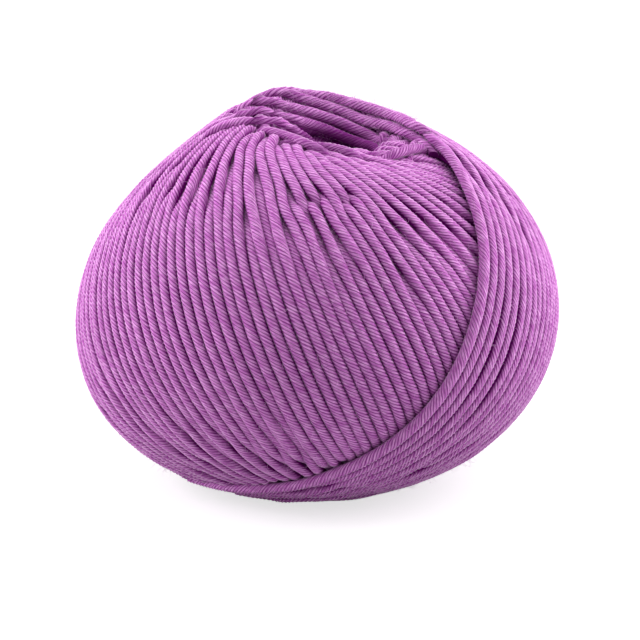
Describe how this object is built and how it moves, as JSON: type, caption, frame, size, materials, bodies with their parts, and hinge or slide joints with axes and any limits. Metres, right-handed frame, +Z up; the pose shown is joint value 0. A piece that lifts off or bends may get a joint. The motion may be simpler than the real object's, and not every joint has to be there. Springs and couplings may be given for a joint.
{
  "type": "merino yarn ball",
  "caption": "Soft machine-wound ball of plied merino yarn with a spindle hollow in its crown, resting on a small flat spot.",
  "frame": {"origin": "middle of the ball's box, on the surface that it rests on", "axes": "+Z up, -Y toward the picture's viewer, +X to the picture's right; the spindle line leans about 8 degrees toward +X"},
  "size_m": [0.094, 0.0918, 0.0747],
  "materials": {
    "yarn": "matt orchid-purple plied wool with a soft halo"
  },
  "bodies": {
    "root": {"yarn_ball": "yarn"}
  },
  "joints": []
}
